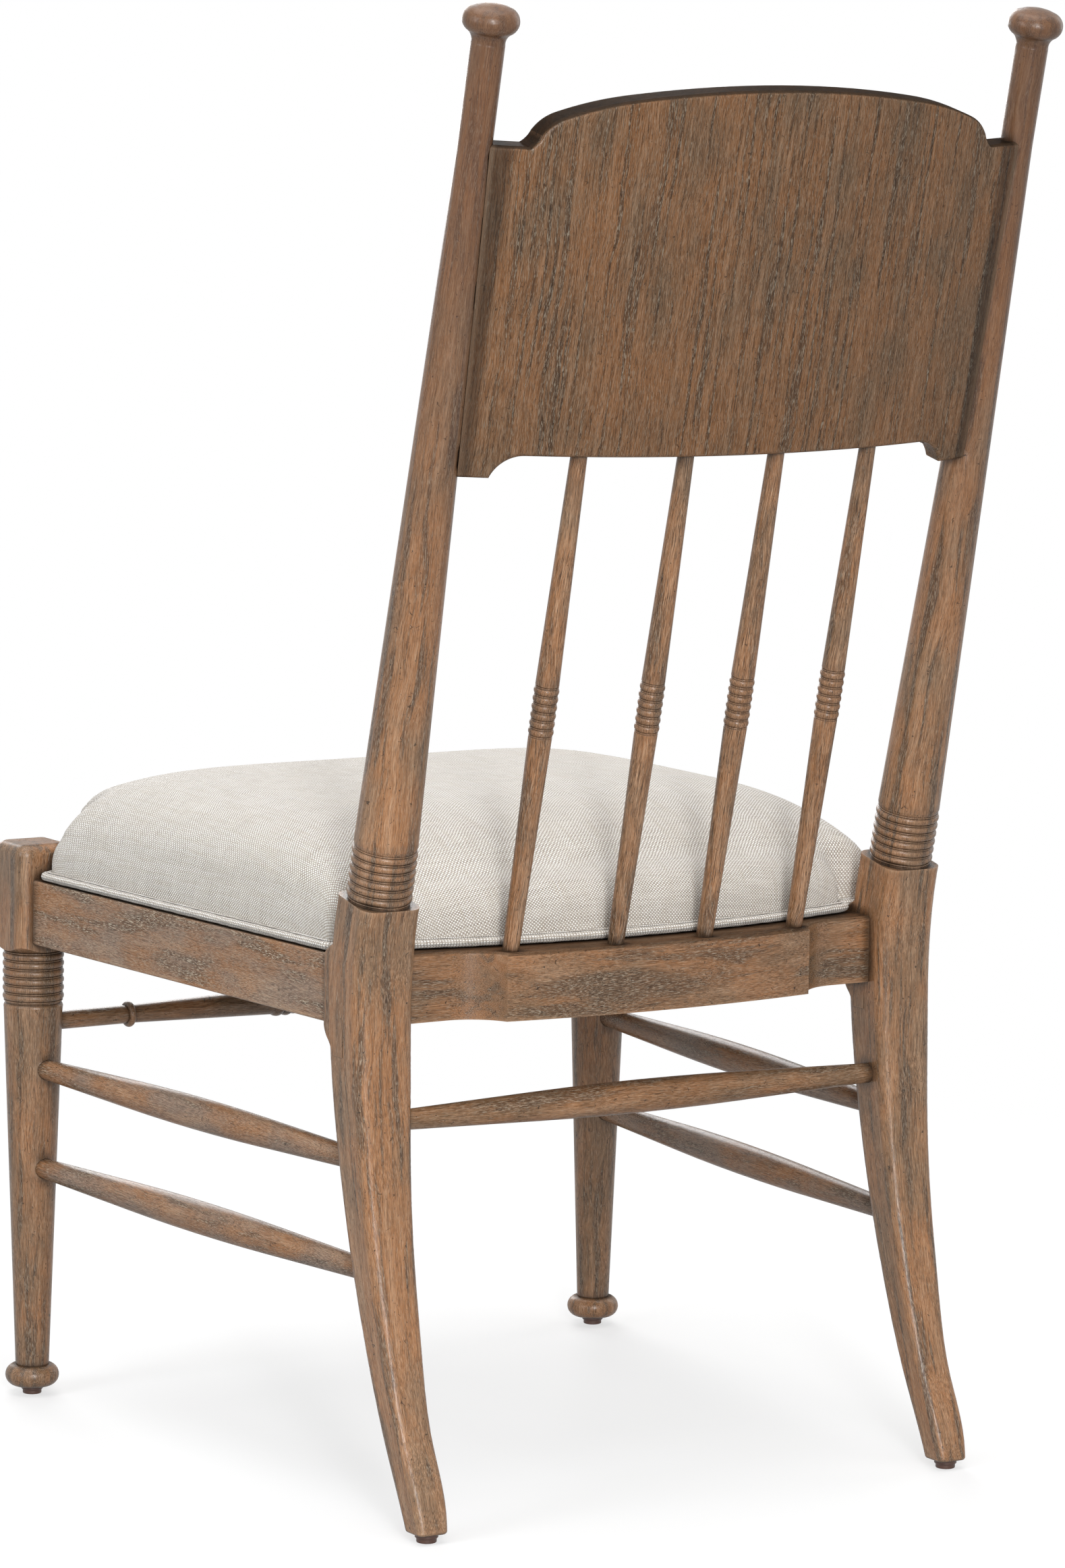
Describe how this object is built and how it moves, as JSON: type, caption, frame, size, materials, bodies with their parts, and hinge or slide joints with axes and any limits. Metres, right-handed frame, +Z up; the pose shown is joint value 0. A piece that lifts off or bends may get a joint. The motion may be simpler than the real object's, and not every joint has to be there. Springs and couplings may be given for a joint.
{
  "type": "side chair",
  "caption": "Tall-backed wooden dining side chair with turned legs and spindles, a bowed crest panel and a crowned upholstered seat.",
  "frame": {"origin": "centre of the chair's box at floor level, between the four glides", "axes": "+Z up, -Y the way the sitter faces, +X the sitter's left"},
  "size_m": [0.5734, 0.6682, 1.0983],
  "materials": {
    "stained_wood": "mid-brown stained and lightly cerused hardwood, satin",
    "raw_wood": "unfinished hardwood",
    "plywood": "unfinished plywood",
    "glide_plastic": "dark brown moulded plastic",
    "screw_steel": "zinc-plated steel",
    "lining_cloth": "black non-woven cloth",
    "seat_foam": "open-cell upholstery foam",
    "upholstery_fabric": "off-white basket-weave linen blend"
  },
  "bodies": {
    "root": {"front_leg_left": "stained_wood", "front_leg_right": "stained_wood", "rear_post_left": "stained_wood", "rear_post_right": "stained_wood", "front_rail": "stained_wood", "rear_rail": "stained_wood", "side_rail_left": "stained_wood", "side_rail_right": "stained_wood", "crest_panel": "stained_wood", "side_stretcher_upper_left": "stained_wood", "side_stretcher_upper_right": "stained_wood", "side_stretcher_lower_left": "stained_wood", "side_stretcher_lower_right": "stained_wood", "front_stretcher": "stained_wood", "rear_stretcher": "stained_wood", "spindle_inner_left": "stained_wood", "spindle_inner_right": "stained_wood", "spindle_outer_left": "stained_wood", "spindle_outer_right": "stained_wood", "corner_brace_front_left": "raw_wood", "corner_brace_front_right": "raw_wood", "corner_brace_rear_left": "raw_wood", "corner_brace_rear_right": "raw_wood", "side_rail_dowels": "raw_wood", "front_rail_dowels": "raw_wood", "rear_rail_dowels": "raw_wood", "glide_front_left": "glide_plastic", "glide_front_right": "glide_plastic", "glide_rear_left": "glide_plastic", "glide_rear_right": "glide_plastic", "brace_screws": "screw_steel", "seat_screws": "screw_steel", "seat_board": "plywood", "dust_cover": "lining_cloth", "seat_foam": "seat_foam", "seat_cover": "upholstery_fabric", "seat_welt": "upholstery_fabric"}
  },
  "joints": []
}
